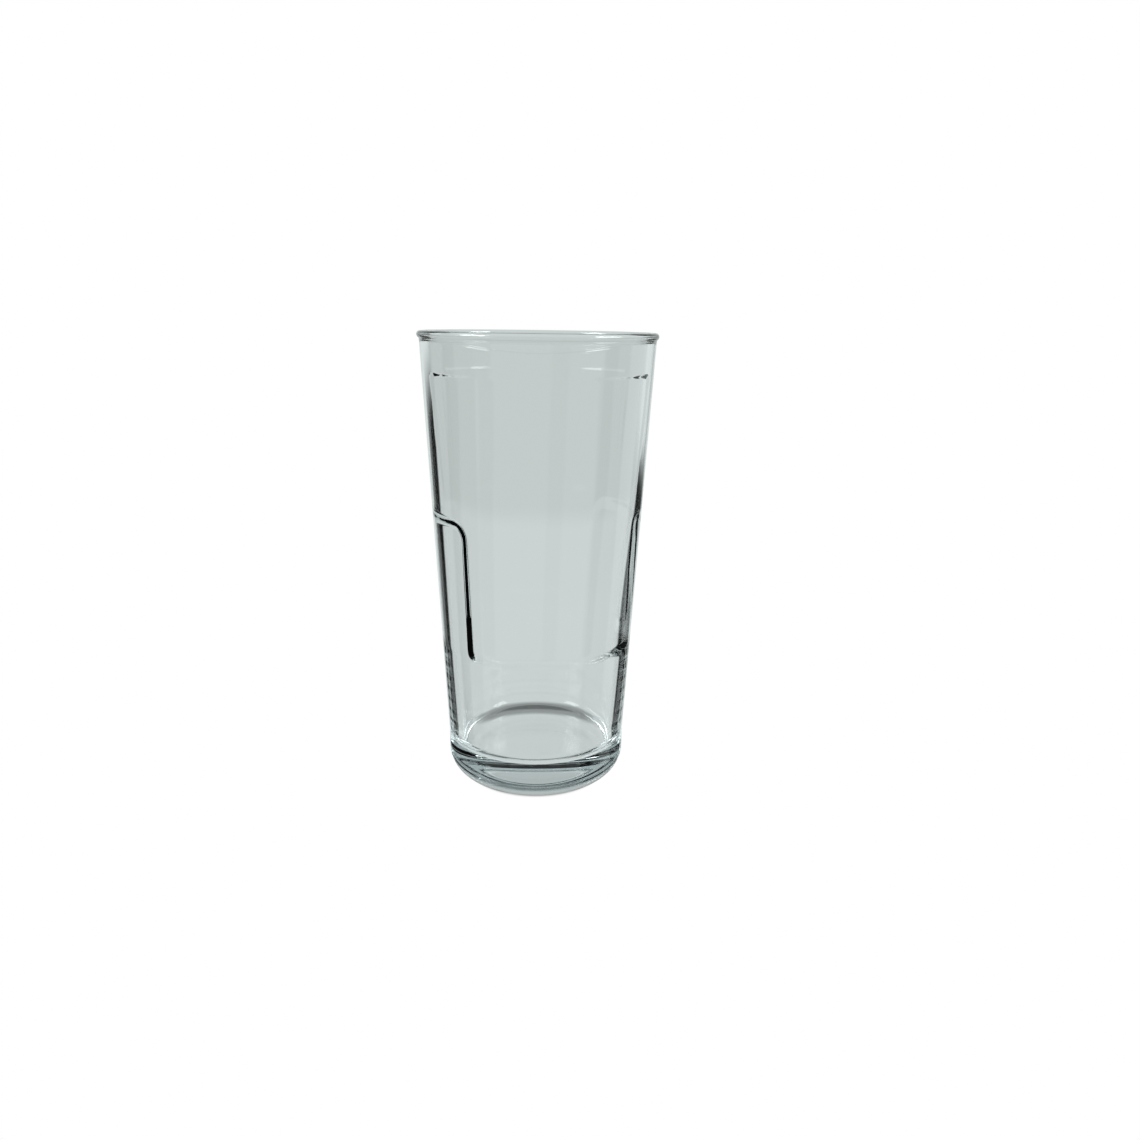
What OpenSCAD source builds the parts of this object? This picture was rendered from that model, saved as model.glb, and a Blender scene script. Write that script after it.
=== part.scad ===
// Mixing glass, one piece of pressed and tempered glass.
// Origin at the centre of the resting face, +Z up, millimetres.
// The stacking pads are centred on the X axis, the windows between them face -Y and +Y.

/* [Outside] */
// Height from the resting face to the top of the rim
glass_h = 160; // [120:0.5:200]
// Outside diameter of the rim bead
rim_d = 82; // [70:0.5:100]
// Height of the rounded rim
rim_bead_h = 2.5; // [2:0.1:5]
// How far the rim bead stands proud of the wall
rim_bead_out = 0.7; // [0.2:0.1:1.5]
// Outside diameter of the upright band round the foot
foot_d = 64; // [50:0.5:80]
// Height where the upright foot band ends and the tapered wall starts
foot_band_top = 17.5; // [10:0.5:30]
// Radius of the rounded heel
heel_r = 10.5; // [3:0.5:14]

/* [Underside] */
// Diameter of the shallow hollow under the foot
punt_d = 38; // [20:1:40]
// Depth of the hollow at its centre
punt_depth = 0.5; // [0.4:0.1:3]

/* [Wall] */
// Wall thickness of the top band, the upper sides and the lower windows
wall_top = 2.9; // [1.5:0.1:4]
// Wall thickness of the lower stacking pads
wall_pad = 3.8; // [2:0.1:6]
// Wall thickness where the cavity meets the floor rounding
wall_bottom = 4.6; // [2:0.1:8]

/* [Cavity] */
// Height of the cavity floor above the resting face
floor_z = 13.5; // [6:0.5:25]
// Radius of the rounding between the floor and the wall
floor_r = 6; // [2:0.5:12]
// How far that rounding is cut short where it meets the flat floor
floor_crease = 1.2; // [0.2:0.1:3]
// Height of the small ledge at the foot of the lower windows
low_ledge_z = 51.5; // [35:0.5:75]
// Height of the top of the stacking pads
mid_ledge_z = 98; // [80:0.5:120]
// Height of the ledge along the top of the upper windows
top_ledge_z = 146.4; // [125:0.2:155]
// Height that each ledge takes to slope in
ledge_slope = 0.9; // [0.3:0.1:3]

/* [Windows] */
// Half angle of the lower windows seen from above
lower_half_angle = 47; // [30:1:60]
// Half angle of the upper windows at their top, seen from above
upper_half_angle = 67; // [45:0.5:75]
// Half angle of the upper windows at their foot, seen from above
upper_foot_angle = 61; // [45:0.5:75]
// How far the upper windows stand in at their top, running out at their foot
window_rise = 0.3; // [0.1:0.05:1]
// Rounding of the upper corners of the stacking pads
pad_corner_r = 5.5; // [2:0.5:10]

/* [Node] */
// Sub-part to draw, or all

/* [Hidden] */
$fn = 180;

rim_r = rim_d / 2;
foot_r = foot_d / 2;
bead_r = rim_bead_h / 2;
// Wall radius outside, just below the rim bead
wall_top_r = rim_r - rim_bead_out;
wall_top_z = glass_h - bead_r;
// Outside taper, millimetres of radius for each millimetre of height
taper = (wall_top_r - foot_r) / (wall_top_z - foot_band_top);
// Ball that makes the shallow hollow under the foot
punt_ball_r = (punt_d * punt_d / 4 + punt_depth * punt_depth) / (2 * punt_depth);
// Height where the floor rounding runs out into the wall
floor_round_top = floor_z + floor_r - floor_crease;
// Inside radius where the floor rounding runs out
well_r = outer_r(floor_round_top) - wall_bottom;
// How far cutting shapes run past the glass
over = 5;

// Outside radius of the tapered wall at height z
function outer_r(z) = foot_r + taper * (z - foot_band_top);

// Half width of a window, at height z, for a half angle seen from above
function half_w(z, angle) = (outer_r(z) - wall_top) * sin(angle);

// Half section of the outside, from the resting face to just below the rim
module outside_profile() {
    difference() {
        union() {
            square([foot_r - heel_r, foot_band_top]);
            translate([0, heel_r]) square([foot_r, foot_band_top - heel_r]);
            translate([foot_r - heel_r, heel_r]) circle(r = heel_r);
            polygon([
                [0, foot_band_top],
                [foot_r, foot_band_top],
                [wall_top_r, wall_top_z],
                [0, wall_top_z]
            ]);
        }
        translate([-glass_h, -over]) square([glass_h, glass_h + 2 * over]);
    }
}

// Half section of the cavity inside the pads, from the floor to above the rim
module pad_profile() {
    lip_r = outer_r(wall_top_z) - wall_top;
    translate([0, floor_z]) square([well_r - floor_r, floor_round_top - floor_z]);
    polygon([
        [0, floor_round_top],
        [well_r, floor_round_top],
        [outer_r(low_ledge_z) - wall_pad, low_ledge_z],
        [outer_r(mid_ledge_z) - wall_pad, mid_ledge_z - ledge_slope],
        [outer_r(mid_ledge_z) - wall_top, mid_ledge_z],
        [lip_r, wall_top_z],
        [lip_r, glass_h + over],
        [0, glass_h + over]
    ]);
}

// Half section of the cavity in the lower windows, between two pads
module lower_window_profile() {
    polygon([
        [0, low_ledge_z],
        [outer_r(low_ledge_z) - wall_pad, low_ledge_z],
        [outer_r(low_ledge_z) - wall_top, low_ledge_z + ledge_slope],
        [outer_r(mid_ledge_z) - wall_top, mid_ledge_z],
        [0, mid_ledge_z]
    ]);
}

// Half section of the glass that stands in over the upper windows, with its back buried in the wall
module upper_window_profile() {
    sloped_z = top_ledge_z - window_rise;
    polygon([
        [outer_r(mid_ledge_z) - wall_top, mid_ledge_z],
        [outer_r(sloped_z) - wall_top - window_rise, sloped_z],
        [outer_r(top_ledge_z) - wall_top, top_ledge_z],
        [outer_r(top_ledge_z) - wall_top / 2, top_ledge_z],
        [outer_r(mid_ledge_z) - wall_top / 2, mid_ledge_z]
    ]);
}

// Right half of a lower window's outline, seen from the front
module lower_window_half() {
    square_top = mid_ledge_z - pad_corner_r;
    top_w = half_w(square_top, lower_half_angle);
    polygon([
        [0, low_ledge_z],
        [half_w(low_ledge_z, lower_half_angle), low_ledge_z],
        [top_w, square_top],
        [top_w, mid_ledge_z],
        [0, mid_ledge_z]
    ]);
    // flare over the rounded corner of the pad
    difference() {
        translate([top_w, square_top]) square([pad_corner_r, pad_corner_r]);
        translate([top_w + pad_corner_r, square_top]) circle(r = pad_corner_r);
    }
}

// Right half of an upper window's outline, seen from the front
module upper_window_half() {
    polygon([
        [0, mid_ledge_z],
        [half_w(mid_ledge_z, upper_foot_angle), mid_ledge_z],
        [half_w(top_ledge_z, upper_half_angle), top_ledge_z],
        [0, top_ledge_z]
    ]);
}

// Block as deep as the glass, cut to the outline whose right half is given
module window_block() {
    rotate([90, 0, 0])
    linear_extrude(height = rim_d, center = true)
    union() {
        children();
        mirror([1, 0]) children();
    }
}

// Empty space inside the glass
module cavity() {
    difference() {
        rotate_extrude() pad_profile();
        intersection() {
            rotate_extrude() upper_window_profile();
            window_block() upper_window_half();
        }
    }
    // rounding between the floor and the wall
    intersection() {
        translate([0, 0, floor_round_top])
        rotate_extrude() translate([well_r - floor_r, 0]) circle(r = floor_r);
        translate([0, 0, floor_z]) cylinder(r = foot_r, h = floor_round_top - floor_z + 0.01);
    }
    intersection() {
        rotate_extrude() lower_window_profile();
        window_block() lower_window_half();
    }
}

// Half section of the rim: a bead proud of the wall outside, and a rounded lip inside
module rim_profile() {
    bead_centre_r = rim_r - bead_r;
    lip_centre_r = wall_top_r - wall_top + bead_r;
    translate([bead_centre_r, wall_top_z]) circle(r = bead_r);
    translate([lip_centre_r, wall_top_z]) circle(r = bead_r);
    translate([lip_centre_r, wall_top_z - bead_r]) square([bead_centre_r - lip_centre_r, rim_bead_h]);
}

// The whole glass
module glass() {
    color([0.80, 0.86, 0.84, 0.5])
    union() {
        difference() {
            rotate_extrude() outside_profile();
            cavity();
            translate([0, 0, punt_depth - punt_ball_r]) sphere(r = punt_ball_r);
        }
        rotate_extrude() rim_profile();
    }
}

glass();
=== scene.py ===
"""Looks of the mixing glass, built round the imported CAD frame.

Lengths are in metres. Angles round the glass are in radians from -Y, and studio angles are in degrees.
"""

import math

import bpy
import numpy as np
from mathutils import Matrix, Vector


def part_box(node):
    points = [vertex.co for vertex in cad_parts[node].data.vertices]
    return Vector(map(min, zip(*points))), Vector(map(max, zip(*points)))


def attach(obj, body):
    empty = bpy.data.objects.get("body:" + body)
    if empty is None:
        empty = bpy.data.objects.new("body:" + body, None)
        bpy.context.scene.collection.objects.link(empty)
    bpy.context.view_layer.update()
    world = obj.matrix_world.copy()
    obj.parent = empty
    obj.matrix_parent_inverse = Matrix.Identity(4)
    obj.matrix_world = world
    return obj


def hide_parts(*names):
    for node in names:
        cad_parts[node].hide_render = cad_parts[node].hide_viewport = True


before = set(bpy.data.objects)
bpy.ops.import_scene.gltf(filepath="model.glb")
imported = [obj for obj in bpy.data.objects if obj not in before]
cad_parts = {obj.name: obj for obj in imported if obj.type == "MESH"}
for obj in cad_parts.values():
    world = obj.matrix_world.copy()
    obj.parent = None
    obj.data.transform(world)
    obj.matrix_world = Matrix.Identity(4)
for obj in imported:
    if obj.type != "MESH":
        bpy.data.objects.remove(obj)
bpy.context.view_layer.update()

MM = 0.001
WHITE = (1, 1, 1, 1)

# ---------------------------------------------------------------- sizes of the glass
foot_low, rim_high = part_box("glass")
GLASS_H = rim_high.z - foot_low.z
RIM_R = (rim_high.x - foot_low.x) / 2
RIM_BEAD_R = 1.25 * MM
RIM_BEAD_OUT = 0.7 * MM
FOOT_R = 32 * MM
FOOT_BAND_TOP = 17.5 * MM
HEEL_R = 10.5 * MM
PUNT_R = 19 * MM
PUNT_DEPTH = 0.5 * MM
WALL_TOP = 2.9 * MM
WALL_LOWER_PAD = 3.8 * MM
WALL_BOTTOM = 4.6 * MM
WINDOW_RISE = 0.38 * MM
LOW_LEDGE_RISE = 0.35 * MM
FLOOR_Z = 13.5 * MM
FLOOR_R = 6 * MM
FLOOR_CREASE = 1.2 * MM
LOW_LEDGE_Z = 51.5 * MM
MID_LEDGE_Z = 98 * MM
TOP_LEDGE_Z = 146.4 * MM
# Half angles of the windows from above; the upper ones narrow towards their foot
LOWER_HALF_ANGLE = math.radians(47)
UPPER_HALF_ANGLE = math.radians(67)
UPPER_NARROWING = math.radians(6)
LOWER_CORNER_R = 5.5 * MM
UPPER_CORNER_R = 1.5 * MM
BEAD_Z = GLASS_H - RIM_BEAD_R
WALL_TOP_R = RIM_R - RIM_BEAD_OUT
# Height where the rounding of the floor runs out into the wall
WELL_TOP = FLOOR_Z + FLOOR_R - FLOOR_CREASE

# How wide the fire-polished edges are, measured along the wall
PAD_EDGE = 4.4 * MM
PAD_SOFT_EDGE = 30 * MM
WINDOW_EDGE = 1.2 * MM
LOW_LEDGE_EDGE = 5 * MM
# A pad turns from crisp to soft as the sine of twice the angle from -Y goes between these
SOFT_HAND = (-0.2, 0.9)
# On its soft hand a pad thins out between these heights
PAD_FADE_LOW = 56 * MM
PAD_FADE_TOP = 125 * MM
# Angles from the middle of a window over which its upper part comes to stand in
WINDOW_RISE_FROM = math.radians(8)
WINDOW_RISE_TO = math.radians(62)
# Share of the upper window's height, from its top, where it stands in fully
WINDOW_FULL = 0.1
# Angles from the middle of a window over which the lowest ledge runs into the pads
LOW_LEDGE_FROM = math.radians(22)
LOW_LEDGE_TO = math.radians(46)

# ---------------------------------------------------------------- glass
IOR = 1.52
TINT = (0.76, 0.86, 0.89, 1)
TINT_DENSITY = 5
# Slow waves that pressing leaves in the surface: waves in a metre, finer waves on them, and their depth
RIPPLE_SCALE = 35
RIPPLE_DETAIL = 2
RIPPLE_FINENESS = 0.35
RIPPLE_DEPTH = 0.02 * MM
# Fine wear on the ring that the glass stands on, up to a height, with cleaner patches between the scuffs
SCUFF_SCALE = 900
SCUFF_DETAIL = 6
SCUFF_FINENESS = 0.5
SCUFF_PATCHES = (0.45, 0.6)
SCUFF_FULL = 0.01 * MM
SCUFF_TOP = 0.06 * MM
CLEAN_ROUGHNESS = 0.02
SCUFF_ROUGHNESS = 0.14

# ---------------------------------------------------------------- camera and studio
# Where the camera stands, from the glass's axis and foot, and how it is aimed, in radians
CAMERA_DISTANCE = 8.5201 * RIM_R
CAMERA_HEIGHT = 4.0243 * RIM_R
CAMERA_PITCH = 0.2478
CAMERA_YAW = -0.034
CAMERA_ROLL = 0.0139
# Lens and sensor width in mm
CAMERA_LENS = 31.61
CAMERA_SENSOR = 36
CAMERA_CLIP = 10 * MM
# How far the glass is turned from square to the camera, in degrees
GLASS_TURN = 3
# Black flags: compass angle from +Y, half width and top, in degrees, and how dark each is
FLAGS = (
    (-31, 11, -5.2, 0.99),
    (26, 12, -10, 0.99),
    (22, 5, 8, 0.7),
    (-75, 9, -4, 0.7),
    (-120, 9, -4, 0.7),
    (160, 9, -4, 0.5),
    (105, 9, -4, 0.7),
)
# The flags that show in the outside of the glass, mirrored straight off it
MIRRORED_FLAGS = (
    (-37, 12, -5.2, 0.95),
    (44, 19, -10, 0.95),
    (-80, 34, 0, 0.95),
    (100, 16, 0, 0.8),
)
# Softness of the flags' edges, and how far they lean for each degree of height above FLAG_PIVOT
FLAG_SOFT = 2.5
FLAG_LEAN = 0.4
FLAG_PIVOT = -16
# Softboxes over the table: compass angle and height of the middle, half width and half height, in degrees
SOFTBOXES = ((-112, 28, 12, 9), (108, 26, 12, 9))
SOFTBOX_SOFT = 4
# Heights over which one part of the surroundings gives way to the next, in degrees above level
CEILING = (15, 30)
TABLE_EDGE = (-12, -10.5)
FLAG_FOOT = (-40, -30)
NEAR_TABLE = (-52, -44)
UNDER_GLASS = (-60, -55)
CONTACT = (-34, -24)
# How bright each part of the surroundings is; the table seen straight is 1
WALL_LIGHT = 0.59
TABLE_LIGHT = 0.65
EDGE_LIGHT = 0.75
CEILING_LIGHT = 0.5
SOFTBOX_LIGHT = 5
MIRRORED_SOFTBOX_LIGHT = 16
UNDER_LIGHT = 0.01
HALF_SHADE_LIGHT = 0.22
UNDER_BASE_LIGHT = 0.65
# CONTACT_LIGHT is also the glow inside the floor's painted contact shadow
CONTACT_LIGHT = 0.16
# The room is very slightly green
ROOM_TONE = (0.915, 1, 0.985, 1)
# The floor has a painted contact shadow, a dark ring where the glass touches it, and lies a hair below the
# glass
SHADE_R = 23.2 * MM
SHADE_FADE = 2.6 * MM
FLOOR_HALF_SIZE = 3
FLOOR_DROP = 0.05 * MM
# How often light may turn in the glass before it is lost
BOUNCES = 24
MIRROR_BOUNCES = 19


# ---------------------------------------------------------------- shape of the glass
def smooth(x, low, high):
    """0 below low, 1 above high, and a smooth step between."""
    t = np.clip((x - low) / (high - low), 0, 1)
    return t * t * (3 - 2 * t)


def outer_radius(z):
    """Outside radius of the tapered wall."""
    slope = (WALL_TOP_R - FOOT_R) / (BEAD_Z - FOOT_BAND_TOP)
    return FOOT_R + slope * (z - FOOT_BAND_TOP)


def wrap(angle):
    """The same angle between -pi and pi."""
    return (angle + math.pi) % (2 * math.pi) - math.pi


def from_window(theta):
    """Angle from the middle of the nearer window, which faces -Y or +Y."""
    return np.minimum(np.abs(wrap(theta)), np.abs(wrap(theta - math.pi)))


def rounded_top(across, z, half_width, top, corner):
    """Signed distance from a tall panel with rounded upper corners, negative inside it."""
    dx = np.abs(across) - (half_width - corner)
    dz = z - (top - corner)
    outside = np.hypot(np.maximum(dx, 0), np.maximum(dz, 0))
    return outside + np.minimum(np.maximum(dx, dz), 0) - corner


def window_rise(theta, z):
    """How far the upper window stands in: most at its upper corners, nothing at its middle and its foot."""
    radius = outer_radius(z) - WALL_TOP
    down = np.clip((TOP_LEDGE_Z - z) / (TOP_LEDGE_Z - MID_LEDGE_Z), 0, 1)
    half_angle = UPPER_HALF_ANGLE - UPPER_NARROWING * down
    across = from_window(theta)
    distance = rounded_top(across * radius, z, half_angle * radius, TOP_LEDGE_Z, UPPER_CORNER_R)
    mask = 1 - smooth(distance, -WINDOW_EDGE / 2, WINDOW_EDGE / 2)
    towards_corner = smooth(across, WINDOW_RISE_FROM, WINDOW_RISE_TO)
    return WINDOW_RISE * mask * towards_corner * (1 - smooth(down, WINDOW_FULL, 1))


def lower_pad(theta, z):
    """1 on the lower stacking pads round +X and -X, 0 off them.

    On one hand a pad ends in a crisp edge. On the other it fades out sideways and towards its top.
    """
    radius = outer_radius(z) - WALL_TOP
    from_pad = math.pi / 2 - from_window(theta)
    half_width = (math.pi / 2 - LOWER_HALF_ANGLE) * radius
    distance = rounded_top(from_pad * radius, z, half_width, MID_LEDGE_Z, LOWER_CORNER_R)
    crisp = 1 - smooth(distance, -PAD_EDGE / 2, PAD_EDGE / 2)
    sideways = 1 - smooth(from_pad * radius - half_width, -PAD_SOFT_EDGE / 2, PAD_SOFT_EDGE / 2)
    faded = sideways * (1 - smooth(z, PAD_FADE_LOW, PAD_FADE_TOP))
    softness = smooth(np.sin(2 * theta), *SOFT_HAND)
    return crisp + (faded - crisp) * softness


def wall(theta, z):
    """Wall thickness at an angle from -Y and a height."""
    thick = WALL_TOP + window_rise(theta, z)
    thick = thick + (WALL_LOWER_PAD - thick) * lower_pad(theta, z)
    depth = np.clip((LOW_LEDGE_Z - z) / (LOW_LEDGE_Z - FLOOR_Z - FLOOR_R), 0, 1)
    beside = smooth(from_window(theta), LOW_LEDGE_FROM, LOW_LEDGE_TO)
    ledge = WALL_TOP + LOW_LEDGE_RISE * (1 - beside) + (WALL_LOWER_PAD - WALL_TOP) * beside
    base = ledge + (WALL_BOTTOM - ledge) * depth
    in_base = 1 - smooth(z, LOW_LEDGE_Z - LOW_LEDGE_EDGE / 2, LOW_LEDGE_Z + LOW_LEDGE_EDGE / 2)
    return thick + (base - thick) * in_base


def inner_radius(theta, z):
    """Inside radius at an angle from -Y and a height."""
    return outer_radius(z) - wall(theta, z)


def arc(centre_r, centre_z, radius, start, end, count):
    """Points (r, z) on an arc; angles in degrees, 0 pointing outwards and 90 up."""
    angles = np.radians(np.linspace(start, end, count))
    return [(centre_r + radius * math.cos(a), centre_z + radius * math.sin(a)) for a in angles]


def spaced(stretches):
    """Heights from (from, to, count) stretches, each without its end."""
    return np.concatenate([np.linspace(a, b, n, endpoint=False) for a, b, n in stretches])


def column_angles():
    """Angles of the mesh's columns: close together over the pads' upright edges."""
    # from, to and count, in degrees, over a quarter of the glass
    stretches = [(0, 42, 20), (42, 53, 26), (53, 65, 28), (65, 90, 14)]
    quarter = np.radians(spaced(stretches))
    half = np.concatenate([quarter, [math.pi / 2], math.pi - quarter[:0:-1]])
    return np.concatenate([half, half + math.pi])


def outside_rows():
    """(r, z) from the middle of the underside, round the heel and over the rim."""
    ball = (PUNT_R**2 + PUNT_DEPTH**2) / (2 * PUNT_DEPTH)
    hollow = [PUNT_R * share for share in np.linspace(0.06, 1, 8)]
    rows = [(r, PUNT_DEPTH - ball + math.sqrt(ball**2 - r**2)) for r in hollow]
    rows.append((PUNT_R + 0.4 * MM, 0))
    rows += arc(FOOT_R - HEEL_R, HEEL_R, HEEL_R, -90, 0, 20)
    near_rim = BEAD_Z - 8 * MM
    under_bead = BEAD_Z - 1.5 * MM
    rows += [(FOOT_R, z) for z in spaced([(HEEL_R + 1 * MM, FOOT_BAND_TOP, 5)])]
    wall_heights = spaced([(FOOT_BAND_TOP, near_rim, 30), (near_rim, under_bead, 12)])
    rows += [(outer_radius(z), z) for z in wall_heights]
    bead_meets_wall = -62
    rows += arc(RIM_R - RIM_BEAD_R, BEAD_Z, RIM_BEAD_R, bead_meets_wall, 90, 24)
    lip_r = outer_radius(BEAD_Z) - WALL_TOP
    rows += arc(lip_r + RIM_BEAD_R, BEAD_Z, RIM_BEAD_R, 90, 180, 14)
    return rows


def inside_rows():
    """Heights of the rows inside the glass, from the rim bead down: closer together over the ledges."""
    over_top, under_top = TOP_LEDGE_Z + 2 * MM, TOP_LEDGE_Z - 4 * MM
    over_mid, under_mid = MID_LEDGE_Z + 3 * MM, MID_LEDGE_Z - 9 * MM
    over_low, under_low = LOW_LEDGE_Z + 3 * MM, LOW_LEDGE_Z - 3 * MM
    return spaced(
        [
            (BEAD_Z - 1.0 * MM, over_top, 8),
            (over_top, under_top, 16),
            (under_top, over_mid, 24),
            (over_mid, under_mid, 32),
            (under_mid, over_low, 22),
            (over_low, under_low, 14),
            (under_low, WELL_TOP, 18),
        ]
    )


def floor_corner():
    """(r, z) of the well's rounding about its own centre, down to the crease at the flat floor."""
    floor_depth = FLOOR_R - FLOOR_CREASE
    turn = math.asin(floor_depth / FLOOR_R)
    short_of_crease = 6
    rows = arc(0, 0, FLOOR_R, 0, short_of_crease - math.degrees(turn), 18)
    corner_r = FLOOR_R * math.cos(turn)
    # a small step and two close flat rows keep the crease narrow
    rows.append((corner_r - 0.15 * MM, 0.12 * MM - floor_depth))
    rows.append((corner_r - 0.5 * MM, -floor_depth))
    rows.append((corner_r - 1 * MM, -floor_depth))
    return rows


def glass_rings(theta):
    """(radii, z) of every ring: underside, heel, wall, rim bead, cavity wall and cavity floor."""
    rings = [(np.full(len(theta), r), z) for r, z in outside_rows()]
    rings += [(inner_radius(theta, z), z) for z in inside_rows()]
    well_r = inner_radius(theta, WELL_TOP)
    rings += [(well_r - FLOOR_R + r, WELL_TOP + z) for r, z in floor_corner()]
    flat_r = rings[-1][0]
    towards_middle = (0.8, 0.6, 0.4, 0.2, 0.06)
    rings += [(flat_r * share, FLOOR_Z) for share in towards_middle]
    return rings


def glass_mesh():
    """The rings joined into one closed surface, with a point in the middle of the foot and of the floor."""
    theta = column_angles()
    columns = len(theta)
    rings = glass_rings(theta)
    points = []
    for radius, z in rings:
        x = radius * np.sin(theta)
        y = -radius * np.cos(theta)
        points.append(np.stack([x, y, np.full(columns, z)], axis=1))
    points.append(np.array([[0, 0, PUNT_DEPTH], [0, 0, FLOOR_Z]]))
    here = np.arange(columns)
    after = (here + 1) % columns
    faces = []
    for ring in range(len(rings) - 1):
        low, high = ring * columns, (ring + 1) * columns
        faces += np.stack([low + here, low + after, high + after, high + here], axis=1).tolist()
    under = len(rings) * columns
    floor = under + 1
    last = under - columns
    faces += [[under, int(b), int(a)] for a, b in zip(here, after)]
    faces += [[floor, last + int(a), last + int(b)] for a, b in zip(here, after)]
    mesh = bpy.data.meshes.new("glass_shell")
    mesh.from_pydata(np.concatenate(points).tolist(), [], faces)
    mesh.update()
    mesh.polygons.foreach_set("use_smooth", [True] * len(mesh.polygons))
    return mesh


def add_object(name, data):
    """A new object in the scene that shows the data."""
    added = bpy.data.objects.new(name, data)
    bpy.context.scene.collection.objects.link(added)
    return added


# ---------------------------------------------------------------- shader helpers
class Nodes:
    """A small wrapper that adds nodes to a tree and links them."""

    def __init__(self, tree):
        self.tree = tree
        tree.nodes.clear()

    def add(self, kind, **settings):
        """A new node with its settings."""
        node = self.tree.nodes.new(kind)
        for name, value in settings.items():
            setattr(node, name, value)
        return node

    def feed(self, socket, value):
        """Give an input a link from another node, or a plain value."""
        if isinstance(value, bpy.types.NodeSocket):
            self.tree.links.new(value, socket)
        else:
            socket.default_value = value

    def math(self, operation, *values):
        """One sum on links or numbers."""
        node = self.add("ShaderNodeMath", operation=operation)
        for socket, value in zip(node.inputs, values):
            self.feed(socket, value)
        return node.outputs[0]

    def mix(self, share, a, b):
        """From a to b as share goes from 0 to 1."""
        node = self.add("ShaderNodeMix", data_type="FLOAT")
        for index, value in ((0, share), (2, a), (3, b)):
            self.feed(node.inputs[index], value)
        return node.outputs[0]

    def step(self, value, low, high, below, above):
        """A smooth step from below to above as value goes from low to high."""
        node = self.add("ShaderNodeMapRange", interpolation_type="SMOOTHSTEP")
        for name, number in zip(("From Min", "From Max", "To Min", "To Max"), (low, high, below, above)):
            self.feed(node.inputs[name], number)
        self.feed(node.inputs["Value"], value)
        return node.outputs[0]


# ---------------------------------------------------------------- materials
def noise(nodes, where, scale, detail, roughness):
    """A noise texture over the object's own coordinates."""
    texture = nodes.add("ShaderNodeTexNoise", noise_dimensions="3D")
    nodes.feed(texture.inputs["Vector"], where)
    nodes.feed(texture.inputs["Scale"], scale)
    nodes.feed(texture.inputs["Detail"], detail)
    nodes.feed(texture.inputs["Roughness"], roughness)
    return texture.outputs[0]


def glass_material():
    """Clear soda-lime glass: pressed ripple, a worn foot, and a grey-green tint through its thickness."""
    material = bpy.data.materials.new("soda_lime_glass")
    material.use_nodes = True
    nodes = Nodes(material.node_tree)
    out = nodes.add("ShaderNodeOutputMaterial")
    where = nodes.add("ShaderNodeTexCoord").outputs["Object"]
    glass = nodes.add("ShaderNodeBsdfGlass", distribution="GGX")
    nodes.feed(glass.inputs["IOR"], IOR)
    nodes.feed(glass.inputs["Color"], WHITE)
    bump = nodes.add("ShaderNodeBump")
    nodes.feed(bump.inputs["Strength"], 1)
    nodes.feed(bump.inputs["Distance"], RIPPLE_DEPTH)
    nodes.feed(bump.inputs["Height"], noise(nodes, where, RIPPLE_SCALE, RIPPLE_DETAIL, RIPPLE_FINENESS))
    nodes.feed(glass.inputs["Normal"], bump.outputs[0])
    parts = nodes.add("ShaderNodeSeparateXYZ")
    nodes.feed(parts.inputs[0], where)
    foot = nodes.step(parts.outputs["Z"], SCUFF_FULL, SCUFF_TOP, 1, 0)
    scuffs = noise(nodes, where, SCUFF_SCALE, SCUFF_DETAIL, SCUFF_FINENESS)
    wear = nodes.step(scuffs, *SCUFF_PATCHES, CLEAN_ROUGHNESS, SCUFF_ROUGHNESS)
    nodes.feed(glass.inputs["Roughness"], nodes.math("MULTIPLY", foot, wear))
    tint = nodes.add("ShaderNodeVolumeAbsorption")
    nodes.feed(tint.inputs["Color"], TINT)
    nodes.feed(tint.inputs["Density"], TINT_DENSITY)
    nodes.feed(out.inputs["Surface"], glass.outputs[0])
    nodes.feed(out.inputs["Volume"], tint.outputs[0])
    return material


def floor_material():
    """Plain white, lit from below like a light table, with a painted contact shadow: its glow drops to a
    dark ring where the glass touches it.
    """
    material = bpy.data.materials.new("white_table")
    material.use_nodes = True
    nodes = Nodes(material.node_tree)
    out = nodes.add("ShaderNodeOutputMaterial")
    glow = nodes.add("ShaderNodeEmission")
    nodes.feed(glow.inputs["Color"], WHITE)
    where = nodes.add("ShaderNodeTexCoord").outputs["Object"]
    radius = nodes.add("ShaderNodeVectorMath", operation="LENGTH")
    nodes.feed(radius.inputs[0], where)
    # Painted contact shadow: the floor's glow falls to CONTACT_LIGHT inside SHADE_R, since the floor
    # receives no real shadow
    painted_shadow = nodes.step(radius.outputs["Value"], SHADE_R, SHADE_R + SHADE_FADE, CONTACT_LIGHT, 1)
    nodes.feed(glow.inputs["Strength"], painted_shadow)
    nodes.feed(out.inputs["Surface"], glow.outputs[0])
    return material


# ---------------------------------------------------------------- studio
def off_angle(nodes, azimuth, centre):
    """How far a compass angle is from a centre, either way, in degrees."""
    return nodes.math("ABSOLUTE", nodes.math("WRAP", nodes.math("SUBTRACT", azimuth, centre), 180, -180))


def past_flags(nodes, azimuth, height, flags):
    """Light that comes past a set of black flags from each direction."""
    lean = nodes.math("MULTIPLY", nodes.math("SUBTRACT", height, FLAG_PIVOT), FLAG_LEAN)
    leaning = nodes.math("ADD", azimuth, lean)
    over_foot = nodes.step(height, *FLAG_FOOT, 0, 1)
    light = EDGE_LIGHT
    for centre, half, top, dark in flags:
        cover = nodes.step(off_angle(nodes, leaning, centre), half - FLAG_SOFT, half + FLAG_SOFT, dark, 0)
        below_top = nodes.step(height, top - FLAG_SOFT, top + FLAG_SOFT, 1, 0)
        cover = nodes.math("MULTIPLY", nodes.math("MULTIPLY", cover, below_top), over_foot)
        light = nodes.math("MULTIPLY", light, nodes.math("SUBTRACT", 1, cover))
    return light


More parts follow.
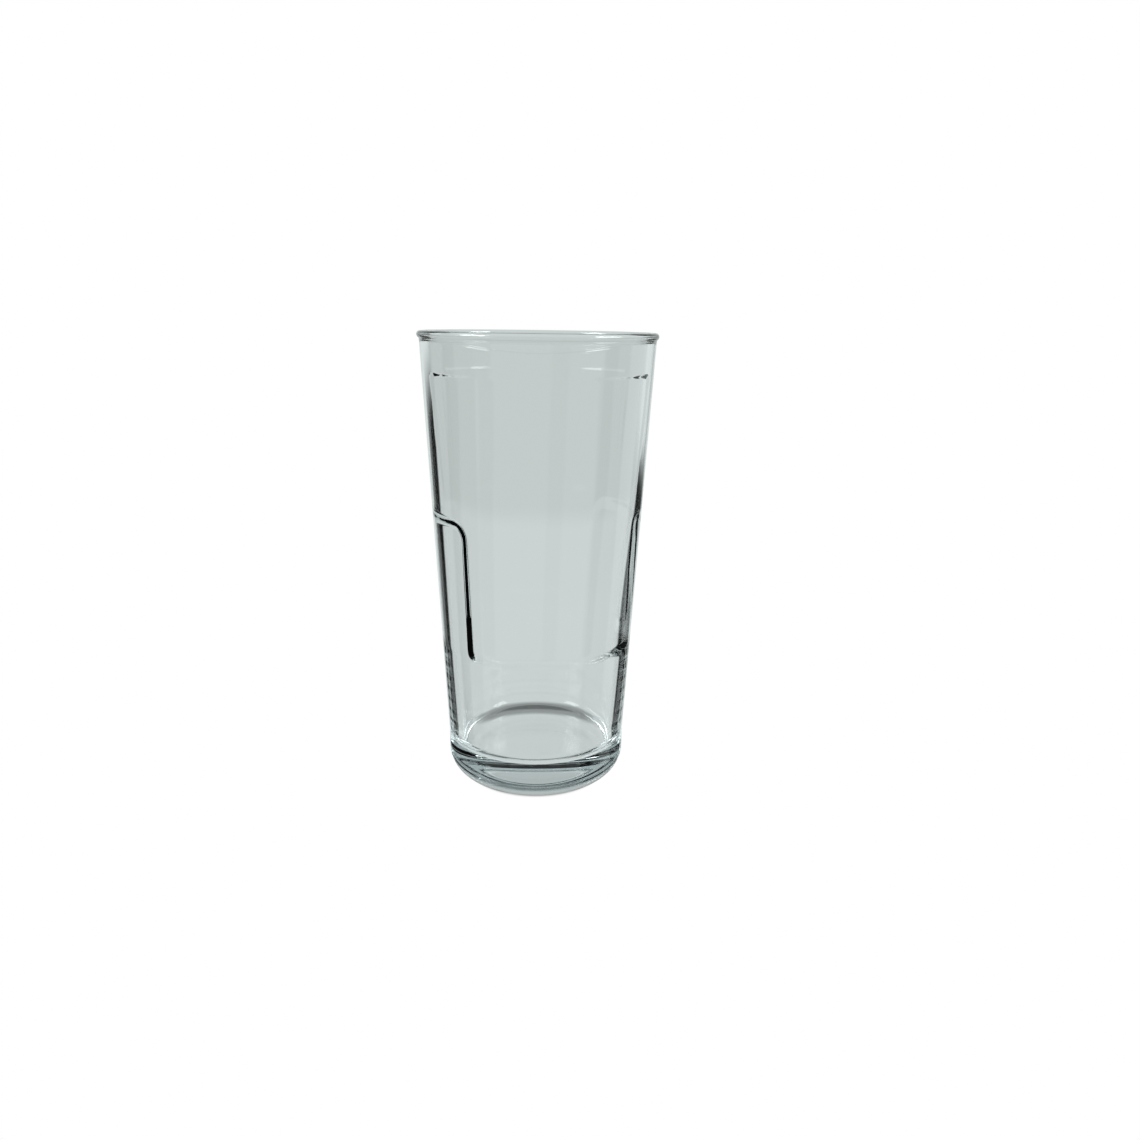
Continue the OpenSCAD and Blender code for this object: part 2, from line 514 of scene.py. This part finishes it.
def in_softbox(nodes, azimuth, height, box):
    """1 towards a softbox, 0 away from it."""
    centre, middle, half, half_height = box
    away = nodes.math("ABSOLUTE", nodes.math("SUBTRACT", height, middle))
    sideways = nodes.step(off_angle(nodes, azimuth, centre), half, half + SOFTBOX_SOFT, 1, 0)
    upright = nodes.step(away, half_height, half_height + SOFTBOX_SOFT, 1, 0)
    return nodes.math("MULTIPLY", sideways, upright)


def surroundings(nodes, azimuth, height):
    """How bright the room is in each direction, and whether it is seen without the glass."""
    ray = nodes.add("ShaderNodeLightPath")
    # faces passed: none for light mirrored off the outside, up to two for light within the nearer wall
    passed = ray.outputs["Transmission Depth"]
    mirrored = nodes.math("LESS_THAN", passed, 0.5)
    near_wall = nodes.math("LESS_THAN", passed, 2.5)
    turned = nodes.math("MULTIPLY", nodes.math("GREATER_THAN", ray.outputs["Glossy Depth"], 0.5), near_wall)
    light = nodes.step(height, *TABLE_EDGE, TABLE_LIGHT, WALL_LIGHT)
    light = nodes.mix(turned, light, past_flags(nodes, azimuth, height, FLAGS))
    light = nodes.mix(mirrored, light, past_flags(nodes, azimuth, height, MIRRORED_FLAGS))
    light = nodes.mix(nodes.step(height, *CEILING, 0, 1), light, CEILING_LIGHT)
    shadow = nodes.step(height, *UNDER_GLASS, UNDER_LIGHT, HALF_SHADE_LIGHT)
    under = nodes.mix(near_wall, shadow, UNDER_BASE_LIGHT)
    light = nodes.mix(nodes.step(height, *NEAR_TABLE, 1, 0), light, under)
    contact = nodes.math("MULTIPLY", mirrored, nodes.step(height, *CONTACT, 1, 0))
    light = nodes.mix(contact, light, CONTACT_LIGHT)
    softbox_light = nodes.mix(mirrored, SOFTBOX_LIGHT, MIRRORED_SOFTBOX_LIGHT)
    for box in SOFTBOXES:
        light = nodes.mix(in_softbox(nodes, azimuth, height, box), light, softbox_light)
    return light, ray.outputs["Is Camera Ray"]


def studio_world():
    """The room that the glass reflects and bends, and a white sweep where it is seen straight."""
    world = bpy.data.worlds.new("studio")
    bpy.context.scene.world = world
    world.use_nodes = True
    nodes = Nodes(world.node_tree)
    out = nodes.add("ShaderNodeOutputWorld")
    parts = nodes.add("ShaderNodeSeparateXYZ")
    nodes.feed(parts.inputs[0], nodes.add("ShaderNodeTexCoord").outputs["Generated"])
    x, y, up = parts.outputs
    azimuth = nodes.math("SUBTRACT", nodes.math("DEGREES", nodes.math("ARCTAN2", x, y)), GLASS_TURN)
    height = nodes.math("DEGREES", nodes.math("ARCSINE", up))
    light, seen_straight = surroundings(nodes, azimuth, height)
    room = nodes.add("ShaderNodeBackground")
    nodes.feed(room.inputs["Color"], ROOM_TONE)
    nodes.feed(room.inputs["Strength"], light)
    sweep = nodes.add("ShaderNodeBackground")
    nodes.feed(sweep.inputs["Color"], WHITE)
    pick = nodes.add("ShaderNodeMixShader")
    nodes.feed(pick.inputs[0], seen_straight)
    nodes.feed(pick.inputs[1], room.outputs[0])
    nodes.feed(pick.inputs[2], sweep.outputs[0])
    nodes.feed(out.inputs["Surface"], pick.outputs[0])


def floor_plane():
    """The plain white floor that the glass stands on."""
    half = FLOOR_HALF_SIZE
    mesh = bpy.data.meshes.new("floor")
    corners = [(-half, -half, 0), (half, -half, 0), (half, half, 0), (-half, half, 0)]
    mesh.from_pydata(corners, [], [(0, 1, 2, 3)])
    floor = add_object("floor", mesh)
    floor.location.z = -FLOOR_DROP
    floor.data.materials.append(floor_material())
    for ray in ("diffuse", "glossy", "transmission", "volume_scatter", "shadow"):
        setattr(floor, "visible_" + ray, False)


def camera():
    """The viewpoint: a little above the rim's height, looking down at the glass."""
    data = bpy.data.cameras.new("camera")
    data.sensor_width = CAMERA_SENSOR
    data.lens = CAMERA_LENS
    data.clip_start = CAMERA_CLIP
    turn = Matrix.Rotation(math.radians(-GLASS_TURN), 4, "Z")
    place = Matrix.Translation((0, -CAMERA_DISTANCE, CAMERA_HEIGHT))
    aim = Matrix.Rotation(CAMERA_YAW, 4, "Z") @ Matrix.Rotation(math.pi / 2 - CAMERA_PITCH, 4, "X")
    cam = add_object("camera", data)
    cam.matrix_world = turn @ place @ aim @ Matrix.Rotation(CAMERA_ROLL, 4, "Z")
    bpy.context.scene.camera = cam


def glass_shell():
    """The whole glass, in place of its CAD solid."""
    shell = add_object("glass_shell", glass_mesh())
    shell.data.materials.append(glass_material())
    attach(shell, "root")
    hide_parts("glass")


def light_paths():
    """How colours are shown and how far light is followed through the glass."""
    scene = bpy.context.scene
    scene.view_settings.view_transform = "Standard"
    scene.cycles.max_bounces = BOUNCES
    scene.cycles.transmission_bounces = BOUNCES
    scene.cycles.glossy_bounces = MIRROR_BOUNCES


# ---------------------------------------------------------------- build
glass_shell()
light_paths()
studio_world()
floor_plane()
camera()
